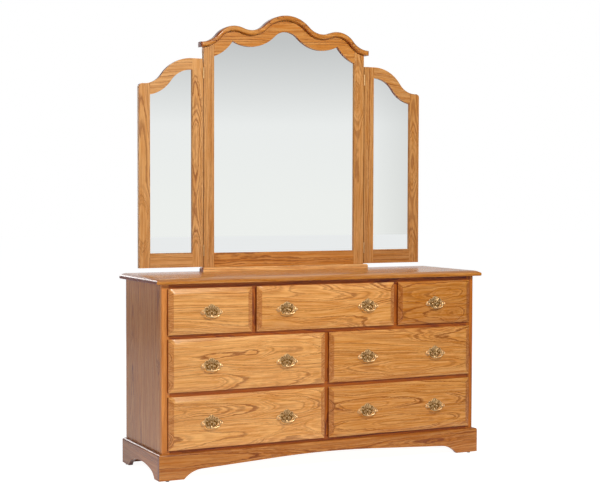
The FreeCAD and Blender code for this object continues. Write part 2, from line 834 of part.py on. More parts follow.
def wing_panel(side, inset, depth, y):
    """A panel of the wing's shape, set in from its edge all round."""
    edges = wing_outline(size(inset))
    whole = padded(edges if side > 0 else mirrored(edges), depth, y=y, z="wing_z",
                   x="wing_inner_x" if side > 0 else "-wing_inner_x")
    low = "mirror_rail - mirror_stile + " + inset
    x = "wing_inner_x + " + inset if side > 0 else "%s - wing_inner_x - wing_width" % inset
    return common(whole, board(x, y, "wing_z + " + low, "wing_width - 2 * (%s)" % inset, depth,
                               "wing_height"))


def make_wing(name, side):
    """One wing: a frame of four boards, its glass and its backing."""
    edges = wing_outline(0)
    outer = padded(edges if side > 0 else mirrored(edges), "mirror_board", y="mirror_y",
                   z="wing_z", x="wing_inner_x" if side > 0 else "-wing_inner_x")
    opening = wing_panel(side, "mirror_stile", "mirror_board", "mirror_y")
    rebate = wing_panel(side, "mirror_stile - mirror_rebate", "mirror_board - mirror_lip",
                        "mirror_glass_y")
    inner = "wing_inner_x" if side > 0 else "-wing_inner_x - wing_width"
    rail = "wing_width - 2 * mirror_stile"
    members = [
        board(inner, "mirror_y", "wing_z", "mirror_stile", "mirror_board", "wing_height"),
        board(inner + " + wing_width - mirror_stile", "mirror_y", "wing_z", "mirror_stile",
              "mirror_board", "wing_height"),
        board(inner + " + mirror_stile", "mirror_y", "wing_z", rail, "mirror_board",
              "mirror_rail"),
        board(inner + " + mirror_stile", "mirror_y", "wing_z + mirror_rail", rail,
              "mirror_board", "wing_height - mirror_rail"),
    ]
    node("wing_frame_" + name, mirror_members(members, outer, opening, rebate))
    pane = "mirror_stile - mirror_rebate + glass_play"
    node("wing_glass_" + name, [wing_panel(side, pane, "glass_thickness", "mirror_glass_y")])
    node("wing_back_" + name, [wing_panel(side, pane, "backing_board",
                                          "mirror_glass_y + glass_thickness")])


def leaf(side, low, knuckles, towards_wing):
    """A hinge's leaf with its knuckles, against the wing or the middle stile."""
    pieces = []
    to_left = side < 0
    against = "wing_inner_x - leaf_board" if towards_wing else "mirror_half_width"
    x = "-(%s) - leaf_board" % against if to_left else against
    centre = "-hinge_x" if to_left else "hinge_x"
    plate_y = "mirror_y + hinge_face_gap"
    pieces.append(board(x, plate_y, low, "leaf_board", "leaf_depth", "hinge_height"))
    bores = []
    for number in knuckles:
        z = "%s + %d * knuckle_pitch" % (low, number)
        pieces.append(board(x, "hinge_y", z, "leaf_board", "%s - hinge_y" % plate_y,
                            "knuckle_length"))
        pieces.append(rod(centre, "hinge_y", z, "knuckle_radius", "knuckle_length", ALONG_Z))
        bores.append(rod(centre, "hinge_y", z, "hinge_pin_radius + hinge_face_gap",
                         "knuckle_length", ALONG_Z))
    if towards_wing:
        pieces.append(rod(centre, "hinge_y", low, "hinge_pin_radius", "hinge_height", ALONG_Z))
        bores = []
    return cut(fused(pieces), bores)


def make_hinges():
    """Two butt hinges in each joint, with their barrels in front."""
    places = ["wing_z + " + place for place in ("hinge_low", "hinge_high")]
    count = int(size("knuckle_count"))
    for name, side in SIDES:
        node("wing_hinge_leaves_" + name,
             [leaf(side, low, range(1, count, 2), True) for low in places])
    node("centre_hinge_leaves", [leaf(side, low, range(0, count, 2), False)
                                 for name, side in SIDES for low in places])


LOW = ("low_front_width", "low_front_height")
TOP = ("small_front_width", "top_front_height")
# Each drawer's name, middle, lower edge, width, height and the middles of its pulls.
DRAWERS = (
    ("top_left", "-small_column_x", "top_row_z", *TOP, ("-small_column_x",)),
    ("top_middle", "0", "top_row_z", "middle_front_width", "top_front_height",
     ("-pull_inner", "pull_inner")),
    ("top_right", "small_column_x", "top_row_z", *TOP, ("small_column_x",)),
    ("middle_left", "-low_column_x", "middle_row_z", *LOW, ("-small_column_x", "-pull_inner")),
    ("middle_right", "low_column_x", "middle_row_z", *LOW, ("pull_inner", "small_column_x")),
    ("bottom_left", "-low_column_x", "bottom_row_z", *LOW, ("-small_column_x", "-pull_inner")),
    ("bottom_right", "low_column_x", "bottom_row_z", *LOW, ("pull_inner", "small_column_x")),
)

make_case()
make_inside()
make_base()
make_centre_mirror()
for name, side in SIDES:
    make_wing(name, side)
make_hinges()
for name, x, z, width, height, pulls in DRAWERS:
    make_drawer(name, x, z, width, height, pulls)
    for pull, word in zip(pulls, ("left", "right")):
        label = "bail_" + name + ("_" + word if len(pulls) > 1 else "")
        make_bail(label, pull, "%s + (%s) / 2 - pull_lowering" % (z, height))

doc.recompute()
for made in doc.Objects:
    if "Invalid" in made.State or "Error" in made.State:
        raise RuntimeError("%s (%s) failed: %s" % (made.Name, made.Label, made.State))
for part in NODES:
    if part.Shape.isNull() or not part.Shape.isValid():
        raise RuntimeError(part.Label + " has no valid shape")
for part in NODES:
    part.Shape.exportStep("parts/%s.step" % part.Label)
print(len(NODES), "sub-parts,", sum(len(part.Shape.Solids) for part in NODES), "solids")
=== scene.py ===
"""Looks of the oak dresser: lacquered oak boards, cast brass pulls and silvered mirrors.

Metres, in the CAD's own frame: X across the front, +Y to the back, +Z up.
"""
import json
import math
import random

import bmesh
import bpy
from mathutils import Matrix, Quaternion, Vector
from mathutils.geometry import delaunay_2d_cdt


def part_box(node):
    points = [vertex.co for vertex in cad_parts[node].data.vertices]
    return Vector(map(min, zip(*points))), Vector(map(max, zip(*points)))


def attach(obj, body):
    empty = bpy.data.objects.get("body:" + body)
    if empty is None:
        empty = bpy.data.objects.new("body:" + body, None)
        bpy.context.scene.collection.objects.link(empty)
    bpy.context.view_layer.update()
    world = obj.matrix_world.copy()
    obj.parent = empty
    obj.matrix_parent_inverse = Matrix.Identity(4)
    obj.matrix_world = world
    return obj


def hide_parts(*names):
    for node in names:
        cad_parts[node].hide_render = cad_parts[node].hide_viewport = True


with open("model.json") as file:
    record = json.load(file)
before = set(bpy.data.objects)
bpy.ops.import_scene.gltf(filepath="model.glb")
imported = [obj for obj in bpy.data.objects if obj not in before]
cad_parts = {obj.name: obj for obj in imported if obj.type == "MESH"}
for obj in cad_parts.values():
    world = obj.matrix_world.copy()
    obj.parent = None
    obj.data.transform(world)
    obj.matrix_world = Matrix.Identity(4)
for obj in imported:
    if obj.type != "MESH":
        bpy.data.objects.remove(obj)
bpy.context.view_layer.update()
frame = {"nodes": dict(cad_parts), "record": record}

MM = 0.001
# How near two corners of a CAD mesh lie when they are the same corner.
SAME_CORNER = 1e-6


def colour(code):
    """The linear colour of an sRGB hex code."""
    parts = [int(code[i:i + 2], 16) / 255 for i in (1, 3, 5)]
    return [p / 12.92 if p <= 0.04045 else ((p + 0.055) / 1.055) ** 2.4 for p in parts] + [1]


def add(tree, kind, inputs=None, stops=None, **settings):
    """Add a node with its settings, a ramp's stops, and its inputs' values or links.

    Inputs go by number where a node has several of one name.
    """
    made = tree.nodes.new(kind)
    for name, value in settings.items():
        setattr(made, name, value)
    if stops:
        ramp = made.color_ramp
        while len(ramp.elements) < len(stops):
            ramp.elements.new(1)
        for element, (place, code) in zip(ramp.elements, stops):
            element.position = place
            element.color = colour(code)
    for name, value in (inputs or {}).items():
        if isinstance(value, bpy.types.NodeSocket):
            tree.links.new(value, made.inputs[name])
        else:
            made.inputs[name].default_value = value
    return made


def new_material(name):
    """A new material and its emptied tree."""
    material = bpy.data.materials.new(name)
    material.use_nodes = True
    material.node_tree.nodes.clear()
    return material, material.node_tree


def drawn_out(tree, place, along_mm, across_mm):
    """A place in a log, scaled so that noise of size 1 is so long and so wide there."""
    across = 1 / (across_mm * MM)
    return add(tree, "ShaderNodeVectorMath", {0: place, 1: (1 / (along_mm * MM), across, across)},
               operation="MULTIPLY").outputs[0]


def wood(name, light, middle, dark, pore, ring_mm, contrast, coat):
    """Sawn wood: rings round the log's heart, cut by the board's faces.

    Attributes of the boards say where they lie in the log: "grain" is the place
    along the trunk, across it and up from its heart, in metres; "end" is how much
    a face shows the ends of the fibres; "tone" is -1 on a pale board, 1 on a
    red one and 2 on the darkest ones, and holds the boards' own tone together with
    painted shade; "year" is the age of the log's heart.
    """
    material, tree = new_material(name)
    grain = add(tree, "ShaderNodeAttribute", attribute_name="grain").outputs["Vector"]
    tone, end, year = (add(tree, "ShaderNodeAttribute", attribute_name=attribute).outputs["Fac"]
                       for attribute in ("tone", "end", "year"))
    # The trunk isn't straight: it bends over 300 mm, and the rings waver over 70 and 20 mm.
    bent = grain
    for along_mm, across_mm, reach_mm in ((300, 80, 7), (70, 18, 1.5), (20, 6, 0.5)):
        noise = add(tree, "ShaderNodeTexNoise", {
            "Vector": drawn_out(tree, grain, along_mm, across_mm), "Scale": 1, "Detail": 1})
        bent = add(tree, "ShaderNodeVectorMath", {
            0: noise.outputs["Color"], 1: (0, 2 * reach_mm * MM, 2 * reach_mm * MM), 2: bent},
            operation="MULTIPLY_ADD").outputs[0]
    section = add(tree, "ShaderNodeVectorMath", {0: bent, 1: (0, 1, 1)},
                  operation="MULTIPLY").outputs[0]
    radius = add(tree, "ShaderNodeVectorMath", {0: section}, operation="LENGTH").outputs["Value"]
    # Fibres are 45 mm long and drawn 1.4 mm wide; they make the rings' edges ragged.
    fibre = add(tree, "ShaderNodeTexNoise", {"Vector": drawn_out(tree, bent, 45, 1.4),
                                             "Scale": 1, "Detail": 2}).outputs["Fac"]
    count = add(tree, "ShaderNodeMath", {0: radius, 1: 1 / (ring_mm * MM), 2: fibre},
                operation="MULTIPLY_ADD").outputs[0]
    count = add(tree, "ShaderNodeMath", {0: count, 1: year}, operation="ADD").outputs[0]
    # Good years and poor years come in runs of four, so rings crowd and spread: a run
    # shifts them by up to three.
    runs = add(tree, "ShaderNodeTexNoise", {"W": count, "Scale": 1 / 4, "Detail": 1},
               noise_dimensions="1D").outputs["Fac"]
    count = add(tree, "ShaderNodeMath", {0: runs, 1: 3.0, 2: count},
                operation="MULTIPLY_ADD").outputs[0]
    season = add(tree, "ShaderNodeMath", {0: count}, operation="FRACT").outputs[0]
    ring = add(tree, "ShaderNodeMath", {0: count}, operation="FLOOR").outputs[0]
    chance = add(tree, "ShaderNodeTexWhiteNoise", {"W": ring},
                 noise_dimensions="1D").outputs["Value"]
    # A ring starts dark and porous in spring and fades into dense summer wood.
    spring = add(tree, "ShaderNodeValToRGB", {"Fac": season}, stops=(
        (0.0, "#808080"), (0.1, "#ffffff"), (0.4, "#f0f0f0"), (0.6, "#606060"),
        (0.8, "#000000"), (1.0, "#808080"))).outputs["Color"]
    # Most rings are weak and a few are strong.
    strong = add(tree, "ShaderNodeMath", {0: chance, 1: 1.5}, operation="POWER").outputs[0]
    strong = add(tree, "ShaderNodeMapRange", {"Value": strong, "To Min": 0.14}).outputs[0]
    darkness = add(tree, "ShaderNodeMath", {0: spring, 1: strong}, operation="MULTIPLY",
                   use_clamp=True).outputs[0]
    # Pores: dark dashes along the grain. Real ones are 0.3 mm wide; 0.9 mm shows.
    dashes = add(tree, "ShaderNodeTexNoise", {"Vector": drawn_out(tree, bent, 16, 0.9),
                                              "Scale": 1, "Detail": 2,
                                              "Roughness": 0.6}).outputs["Fac"]
    pores = add(tree, "ShaderNodeMapRange", {"Value": dashes, "From Min": 0.54,
                                             "From Max": 0.7}).outputs[0]
    crowded = add(tree, "ShaderNodeMapRange", {"Value": darkness, "To Min": 0.3,
                                               "To Max": 1.0}).outputs[0]
    pores = add(tree, "ShaderNodeMath", {0: pores, 1: crowded}, operation="MULTIPLY").outputs[0]
    # Changes of tint, drawn out along the board and up to 8 mm wide.
    streaks = add(tree, "ShaderNodeTexNoise", {"Vector": drawn_out(tree, bent, 220, 8),
                                               "Scale": 1, "Detail": 3,
                                               "Roughness": 0.6}).outputs["Fac"]
    tint = add(tree, "ShaderNodeMapRange", {"Value": streaks, "From Min": 0.36,
                                            "From Max": 0.64}).outputs[0]
    base = add(tree, "ShaderNodeMix", {0: tint, 6: colour(light), 7: colour(middle)},
               data_type="RGBA").outputs[2]
    lines = add(tree, "ShaderNodeMath", {0: darkness, 1: contrast},
                operation="MULTIPLY").outputs[0]
    base = add(tree, "ShaderNodeMix", {0: lines, 6: base, 7: colour(dark)},
               data_type="RGBA").outputs[2]
    dots = add(tree, "ShaderNodeMath", {0: pores, 1: 0.5}, operation="MULTIPLY").outputs[0]
    base = add(tree, "ShaderNodeMix", {0: dots, 6: base, 7: colour(pore)},
               data_type="RGBA").outputs[2]
    # A board's tone runs from bright, yellow and pale to dark, red and rich; on some boards the
    # darkening is painted shade.
    value, hue, rich = (
        add(tree, "ShaderNodeMapRange", {"Value": tone, "From Min": -1, "From Max": 1,
                                         "To Min": pale_board, "To Max": red_board},
            clamp=clamp).outputs[0]
        for pale_board, red_board, clamp in (
            (1.2, 0.7, False), (0.506, 0.492, True), (0.93, 1.11, True)))
    # The darkest tones turn redder still: the colour of painted shade in the gaps.
    redder = add(tree, "ShaderNodeMapRange", {"Value": tone, "From Min": 1, "From Max": 2.5,
                                              "To Max": 0.022}).outputs[0]
    hue = add(tree, "ShaderNodeMath", {0: hue, 1: redder}, operation="SUBTRACT").outputs[0]
    base = add(tree, "ShaderNodeHueSaturation", {"Hue": hue, "Saturation": rich,
                                                 "Value": value, "Color": base}).outputs[0]
    # End grain drinks more stain, so it is darker and redder.
    soaked = add(tree, "ShaderNodeValToRGB", {"Fac": end}, stops=(
        (0.05, "#ffffff"), (0.42, "#ddcbc2"), (0.7, "#b8836a"), (1.0, "#aa6c50"))).outputs[0]
    base = add(tree, "ShaderNodeMix", {0: 1.0, 6: base, 7: soaked},
               data_type="RGBA", blend_type="MULTIPLY").outputs[2]
    # The coat sinks a little into pores, and less into spring wood.
    relief = add(tree, "ShaderNodeMath", {0: darkness, 1: 0.4, 2: pores},
                 operation="MULTIPLY_ADD").outputs[0]
    bump = add(tree, "ShaderNodeBump", {"Height": relief, "Strength": 0.3,
                                        "Distance": 0.06 * MM}, invert=True).outputs[0]
    # Under lacquer the wood's own surface doesn't meet air, so its gloss goes with the coat.
    shader = add(tree, "ShaderNodeBsdfPrincipled", {
        "Base Color": base, "Roughness": 0.55, "IOR": 1.5, "Specular IOR Level": 0.5 * (1 - coat),
        "Coat Weight": coat, "Coat Roughness": 0.23, "Coat IOR": 1.5, "Normal": bump})
    add(tree, "ShaderNodeOutputMaterial", {"Surface": shader.outputs[0]})
    return material


# Red oak, plain-sawn, stained honey and lacquered: strong rings with rows of open
# pores under a satin coat that mirrors softly at a grazing look.
OAK = wood("lacquered_red_oak", "#f3b870", "#da954c", "#8a4816", "#552a0c",
           ring_mm=3.1, contrast=0.92, coat=0.95)
# The same oak where the face frame lies back between the fronts, darker and redder:
# painted shade of the gaps. Its lacquer is thin, so it reflects less.
SHADE_PAINTED_FRAME_OAK = wood("thinly_lacquered_red_oak_painted_shade", "#ec9f55", "#cf823c", "#7c3810", "#4c2208",
                 ring_mm=3.1, contrast=0.92, coat=0.4)
# The same oak for the mirror frames, paler and greyer: a painted sheen of reflected light.
SHEEN_PAINTED_OAK = wood("lacquered_red_oak_painted_sheen", "#f2bd7c", "#d99c59", "#8c4e1e", "#573010",
                ring_mm=3.1, contrast=0.92, coat=0.95)
# Hard maple box boards under clear lacquer: pale, with faint rings and a low sheen.
MAPLE = wood("lacquered_maple", "#e6cca0", "#dabd8c", "#bf9c69", "#a88757",
             ring_mm=5.0, contrast=0.4, coat=0.5)
# Birch plywood and sanded birch strips: pale and dry, with wide flat rings.
BIRCH = wood("sanded_birch", "#d3b689", "#c4a373", "#a68354", "#8c6d45",
             ring_mm=8.0, contrast=0.4, coat=0.0)


def antique_brass():
    """Cast brass, darkened and rubbed: bright olive gold on the ridges, brown in the dips, and
    brown as painted shade on the bails' undersides.
    """
    material, tree = new_material("antique_brass")
    patina_and_shade = add(tree, "ShaderNodeAttribute", attribute_name="patina_and_shade").outputs["Fac"]
    place = add(tree, "ShaderNodeTexCoord").outputs["Object"]
    # Tarnish blots of about 6 mm, and casting grain of 0.8 mm.
    blots = add(tree, "ShaderNodeTexNoise", {"Vector": place, "Scale": 160,
                                             "Detail": 3}).outputs["Fac"]
    grit = add(tree, "ShaderNodeTexNoise", {"Vector": place, "Scale": 1200}).outputs["Fac"]
    tarnish_and_shade = add(tree, "ShaderNodeMath", {0: blots, 1: 0.35, 2: patina_and_shade},
               operation="MULTIPLY_ADD").outputs[0]
    dull = add(tree, "ShaderNodeMapRange", {"Value": tarnish_and_shade, "From Min": 0.1,
                                            "From Max": 1.0}).outputs[0]
    gloss = add(tree, "ShaderNodeMapRange", {"Value": dull, "To Min": 0.36,
                                             "To Max": 0.58}).outputs[0]
    bump = add(tree, "ShaderNodeBump", {"Height": grit, "Strength": 0.2,
                                        "Distance": 0.1 * MM}).outputs[0]
    base = add(tree, "ShaderNodeMix", {0: dull, 6: colour("#f5d09a"), 7: colour("#86602e")},
               data_type="RGBA").outputs[2]
    shader = add(tree, "ShaderNodeBsdfPrincipled", {
        "Base Color": base, "Metallic": 1.0, "Roughness": gloss, "Normal": bump})
    add(tree, "ShaderNodeOutputMaterial", {"Surface": shader.outputs[0]})
    return material


def silvered_glass():
    """Float glass silvered behind: a clean, faintly cool mirror."""
    material, tree = new_material("silvered_glass")
    place = add(tree, "ShaderNodeTexCoord").outputs["Object"]
    haze = add(tree, "ShaderNodeTexNoise", {"Vector": place, "Scale": 9}).outputs["Fac"]
    gloss = add(tree, "ShaderNodeMapRange", {"Value": haze, "To Min": 0.004,
                                             "To Max": 0.02}).outputs[0]
    shader = add(tree, "ShaderNodeBsdfPrincipled", {
        "Base Color": colour("#f8faf9"), "Metallic": 1.0, "Roughness": gloss})
    add(tree, "ShaderNodeOutputMaterial", {"Surface": shader.outputs[0]})
    return material


def moulded_nylon():
    """Moulded nylon glides: dull black with a fine scuffed sheen."""
    material, tree = new_material("moulded_nylon")
    place = add(tree, "ShaderNodeTexCoord").outputs["Object"]
    scuff = add(tree, "ShaderNodeTexNoise", {"Vector": place, "Scale": 400}).outputs["Fac"]
    gloss = add(tree, "ShaderNodeMapRange", {"Value": scuff, "To Min": 0.4,
                                             "To Max": 0.6}).outputs[0]
    base = add(tree, "ShaderNodeMix", {0: scuff, 6: colour("#151413"), 7: colour("#262422")},
               data_type="RGBA").outputs[2]
    shader = add(tree, "ShaderNodeBsdfPrincipled", {
        "Base Color": base, "Roughness": gloss, "IOR": 1.53})
    add(tree, "ShaderNodeOutputMaterial", {"Surface": shader.outputs[0]})
    return material


BRASS = antique_brass()
SILVERED = silvered_glass()
NYLON = moulded_nylon()


def solids(node):
    """A CAD node's solids, each as the rings of corners of its triangles."""
    mesh = frame["nodes"][node].data
    places = [vertex.co for vertex in mesh.vertices]
    found, faces, unmatched = [], [], set()
    for polygon in mesh.polygons:
        ring = [tuple(round(c / SAME_CORNER) for c in places[v]) for v in polygon.vertices]
        faces.append(ring)
        for edge in zip(ring, ring[1:] + ring[:1]):
            if edge[::-1] in unmatched:
                unmatched.remove(edge[::-1])
            else:
                unmatched.add(edge)
        # A solid is whole when every edge has met its twin.
        if not unmatched:
            found.append(faces)
            faces = []
    return found


# Edges are sharp above one angle between their faces, and flat below the other.
SHARP_ANGLE = math.radians(35)
FLAT_ANGLE = math.radians(0.4)
XYZ = (0, 1, 2)


def board_axes(faces):
    """The axes of a board: along its grain, across its face, through it; and its box."""
    corners = [vertex.co for face in faces for vertex in face.verts]
    low = Vector([min(c[i] for c in corners) for i in XYZ])
    high = Vector([max(c[i] for c in corners) for i in XYZ])
    return sorted(XYZ, key=lambda i: low[i] - high[i]), low, high


def heart_at(path, share):
    """Place and depth of a log's heart at a share of the board's length.

    Between the path's points both change smoothly, without a corner.
    """
    for (s0, *first), (s1, *last) in zip(path, path[1:]):
        if share <= s1:
            break
    t = max(0, min(1, (share - s0) / (s1 - s0)))
    t = t * t * (3 - 2 * t)
    return [a + (b - a) * t for a, b in zip(first, last)]


def log_of(label, index, stave, length, heart, tone):
    """What a board is cut from: its heart's path, place in the trunk, tone with painted shade,
    and year.

    Without a given heart the board lies well aside of it or over it, a little askew.
    """
    draw = random.Random("%s %d %d" % (label, index, stave))
    place, deep, rise = (draw.uniform(-0.4, 1.4), draw.uniform(40, 80),
                         draw.uniform(-0.02, 0.02) * length / MM)
    path = (0, place, deep - rise), (1, place + draw.uniform(-0.2, 0.2), deep + rise)
    # A tone of the board's own at random, plus the given tone, which may carry painted shade.
    board_tone_and_shade = draw.uniform(-0.12, 0.12)
    if isinstance(tone, tuple):
        board_tone_and_shade += tone[index]
    elif tone is not None:
        board_tone_and_shade += tone
    return heart or path, draw.uniform(0, 20), board_tone_and_shade, draw.uniform(0, 400)


def sawn(shape, label, staves=1, hearts=(), tone=None, cuts=0):
    """Give each board of a shape its place in a log, for the wood's pattern.

    A board may be glued up from staves side by side. A heart is a path of
    (share of the board's length, share of the stave's width, depth in mm); where
    it runs deeper the rings close in points, and where it is shallow in eyes.
    Cuts across the board let its figure follow such a path.
    """
    number = shape.faces.layers.int["solid"]
    groups = {}
    for face in shape.faces:
        groups.setdefault(face[number], []).append(face)
    frames = {index: board_axes(faces) for index, faces in groups.items()}
    for index, (axes, low, high) in frames.items():
        for axis, parts in ((axes[1], staves), (axes[0], cuts)):
            normal = Vector([i == axis for i in XYZ])
            for cut in range(1, parts):
                # Each of the solid's faces, edges and corners once.
                geometry = list(dict.fromkeys(
                    part for face in shape.faces if face[number] == index
                    for part in (face, *face.edges, *face.verts)))
                bmesh.ops.bisect_plane(shape, geom=geometry, plane_no=normal,
                                       plane_co=low + (high - low) * cut / parts)
    shape.normal_update()
    grains = shape.loops.layers.float_vector.new("grain")
    tones, ends, years = (shape.loops.layers.float.new(name) for name in ("tone", "end", "year"))
    logs = {}
    for face in shape.faces:
        index = face[number]
        (a, b, c), low, high = frames[index]
        width = (high[b] - low[b]) / staves
        stave = min(staves - 1, int((face.calc_center_median()[b] - low[b]) / width))
        if (index, stave) not in logs:
            which = index * staves + stave
            heart = hearts[which] if which < len(hearts) else ()
            logs[index, stave] = log_of(label, index, stave, high[a] - low[a], heart, tone)
        path, start, board_tone_and_shade, year = logs[index, stave]
        for loop in face.loops:
            co = loop.vert.co
            place, deep = heart_at(path, (co[a] - low[a]) / (high[a] - low[a]))
            loop[grains] = (co[a] + start, co[b] - low[b] - (stave + place) * width,
                            high[c] - co[c] + deep * MM)
            loop[tones] = board_tone_and_shade
            loop[years] = year
            loop[ends] = abs(face.normal[a])


def eased(node, ease):
    """A CAD node's solids with their sharp edges eased."""
    shape = bmesh.new()
    number = shape.faces.layers.int.new("solid")
    for index, faces in enumerate(solids(node)):
        made = {}
        for ring in faces:
            for key in ring:
                if key not in made:
                    made[key] = shape.verts.new([c * SAME_CORNER for c in key])
            face = shape.faces.new([made[key] for key in ring])
            face[number] = index
    bmesh.ops.dissolve_limit(shape, angle_limit=FLAT_ANGLE, verts=shape.verts, edges=shape.edges)
    shape.normal_update()
    sharp = [e for e in shape.edges if len(e.link_faces) == 2
             and e.calc_face_angle() > SHARP_ANGLE]
    bmesh.ops.bevel(shape, geom=sharp, offset=ease, segments=2, profile=0.5, affect="EDGES",
                    clamp_overlap=True)
    return shape


SLOTS = {entry["node"]: entry["material_slot"] for entry in frame["record"]["subparts"]}


def piece(node, shape, body, material):
    """An object from a bmesh that rides on a body and stands for a CAD node."""
    name = node.replace("_", "-")
    mesh = bpy.data.meshes.new(name)
    shape.to_mesh(mesh)
    shape.free()
    mesh.materials.append(material)
    mesh.shade_smooth()
    mesh.set_sharp_from_angle(angle=SHARP_ANGLE)
    made = bpy.data.objects.new(name, mesh)
    bpy.context.scene.collection.objects.link(made)
    made.modifiers.new("crisp", "WEIGHTED_NORMAL").keep_sharp = True
    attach(made, body)
    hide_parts(node)


def boards(node, body, material, **log):
    """A CAD node's boards, each sawn from its own log."""
    shape = eased(node, 0.8 * MM)
    sawn(shape, node, **log)
    piece(node, shape, body, material)


def hinge_part(node, body):
    """Hinge leaves or pins, a little less rubbed than the pulls."""
    shape = eased(node, 0.15 * MM)
    patina_and_shade_marks = shape.verts.layers.float.new("patina_and_shade")
    for vertex in shape.verts:
        vertex[patina_and_shade_marks] = 0.3
    piece(node, shape, body, BRASS)


# Each drawer front is glued up from two boards, the lower one first. Their hearts
# are paths of (share of the length, share of the width, depth in mm).
FRONT_FIGURE = {
    "top_left": (((0, -0.3, 40), (1, -0.5, 50)), ((0, 1.5, 45), (1, 1.4, 52))),
    "top_middle": (((0, 0.3, 40), (0.4, 0.2, 50), (1, 0.6, 60)),
                   ((0, 0.9, 30), (0.35, 0.7, 37), (0.7, 0.5, 47), (1, 0.5, 58))),
    "top_right": (((0, 0.6, 34), (0.5, 0.6, 22), (0.75, 0.55, 16), (1, 0.6, 26)),
                  ((0, 0.5, 30), (0.4, 0.5, 22), (0.6, 0.5, 15), (0.8, 0.55, 20),
                   (1, 0.6, 28))),
    "middle_left": (((0, 0.4, 14), (0.2, 0.42, 13), (0.6, 0.42, 34), (1, 0.5, 42)),
                    ((0, 0.38, 12), (0.15, 0.38, 9), (0.45, 0.42, 13), (0.52, 0.45, 12),
                     (0.68, 0.5, 20), (0.78, 0.48, 19), (1, 0.47, 31))),
    "middle_right": (((0, 0.62, 26), (0.3, 0.6, 17), (0.48, 0.58, 10.5), (0.62, 0.58, 14),
                      (0.8, 0.6, 20), (1, 0.62, 26)),
                     ((0, 0.9, 52), (0.5, 0.8, 44), (0.8, 0.7, 35), (1, 0.65, 28))),
    "bottom_left": (((0, 0.5, 18), (0.4, 0.5, 30), (0.8, 0.6, 46), (1, 0.62, 36)),
                    ((0, 0.5, 8), (0.2, 0.5, 14), (0.45, 0.5, 24), (0.75, 0.5, 38),
                     (1, 0.55, 50))),
    "bottom_right": (((0, 0.5, 20), (0.2, 0.5, 15), (0.43, 0.5, 9), (0.6, 0.5, 13),
                      (0.7, 0.47, 15), (0.85, 0.5, 20), (1, 0.5, 25)),
                     ((0, 0.35, 24), (0.2, 0.3, 17), (0.33, 0.3, 13), (0.5, 0.3, 20),
                      (0.75, 0.25, 28), (1, 0.2, 36))),
}
# The right-hand drawers are darker and redder: partly redder boards, partly painted shade where
# the light falls off to the right.
FRONT_TONE_AND_SHADE = {"top_left": -0.05, "top_middle": 0.2, "top_right": 1.05, "middle_left": -0.05,
              "middle_right": 0.55, "bottom_left": 0.0, "bottom_right": 0.6}
# Other boards whose figure shows, in the order of their node's solids: a wing's
# inner stile, outer stile and rails, the middle stiles, and the base's front.
FIGURE = {
    "wing_frame_left": (((0, 0.5, 26), (0.25, 0.5, 12), (0.5, 0.5, 30), (1, 0.3, 40)),
                        ((0, 0.4, 12), (0.3, 0.5, 24), (0.6, 0.5, 14), (0.85, 0.5, 26),
                         (1, 0.5, 34)), ((0, 1.9, 60), (1, 1.9, 60))),
    "wing_frame_right": (((0, 1.6, 50), (1, 1.4, 60)),
                         ((0, 0.5, 16), (0.35, 0.5, 28), (0.6, 0.5, 14), (1, 0.5, 34)),
                         ((0, 1.8, 60), (1, 1.8, 60))),
    "centre_mirror_stiles": (((0, 0.3, 40), (0.6, 0.5, 30), (0.8, 0.5, 14), (1, 0.5, 28)),
                             ((0, -0.8, 60), (1, -0.6, 60))),
    "base_front_apron": (((0, 0.8, 18), (0.25, 0.75, 26), (0.5, 0.7, 33), (0.8, 0.7, 27),
                          (1, 0.8, 31)),),
}
# Cuts across the boards whose hearts are given.
CUTS = 24
# The side panels are glued up from three boards.
STAVES = {"case_side_left": 3, "case_side_right": 3}
# How dark and red the other boards are, or each solid of their node: the boards' own tone, with
# painted shade on the face frame in the gaps between the fronts and at its right-hand end, and on
# the mirror frames where less light falls.
TONES_AND_SHADE = {"case_side_left": 1.35, "case_side_right": 1.35,
         "face_frame_stiles": (1.2, 0.2, 1.5, 1.5, 1.5, 1.5), "face_frame_rails": 1.55,
         "case_top": 1.1, "base_front_apron": 1.45, "base_side_boards": 2.0,
         "mirror_base_board": -0.6, "crest_moulding": 1.0, "centre_mirror_rails": 0.85,
         "centre_mirror_stiles": (0.75, 0.6), "wing_frame_left": 0.5, "wing_frame_right": 0.9}
# Nodes whose boards differ from the rest of their slot.
OAKS = {"face_frame_stiles": SHADE_PAINTED_FRAME_OAK, "face_frame_rails": SHADE_PAINTED_FRAME_OAK,
        "centre_mirror_stiles": SHEEN_PAINTED_OAK, "wing_frame_left": SHEEN_PAINTED_OAK,
        "wing_frame_right": SHEEN_PAINTED_OAK}
WOODS = {"oak": OAK, "oak_fronts": OAK, "inner_wood": BIRCH, "drawer_box_wood": MAPLE}
OTHERS = {"brass": BRASS, "mirror_glass": SILVERED, "glide": NYLON}


def make_boards():
    """Every wooden node but the top board, the hinges, and the other nodes' materials."""
    for body, members in frame["record"]["behaviour"]["bodies"].items():
        for node in members:
            slot = SLOTS[node]
            front = node.removeprefix("drawer_front_")
            if node == "case_top":
                continue
            if "hinge" in node:
                hinge_part(node, body)
            elif slot not in WOODS:
                kept = frame["nodes"][node].data.materials
                kept.clear()
                kept.append(OTHERS[slot])
            elif front != node:
                boards(node, body, OAK, staves=2, cuts=CUTS, tone=FRONT_TONE_AND_SHADE[front],
                       hearts=FRONT_FIGURE[front])
            else:
                boards(node, body, OAKS.get(node, WOODS[slot]), staves=STAVES.get(node, 1),
                       cuts=CUTS if node in FIGURE else 0, tone=TONES_AND_SHADE.get(node),
                       hearts=FIGURE.get(node, ()))


make_boards()

# The top board's edge from underneath up: how far it lies inside the board's
# outline, and its height above the underside, in mm. The bevel is 27 mm wide and
# rises 10.4 mm, a little rounded.
TOP_EDGE = [(4, 0), (1.2, 1.2), (0, 4), (0, 12.4), (0.7, 13.4)] + [
    (27 * (1 - t), 24 - 10.4 * t ** 1.6) for t in (0.93, 0.8, 0.65, 0.5, 0.35, 0.2, 0.08, 0.0)]


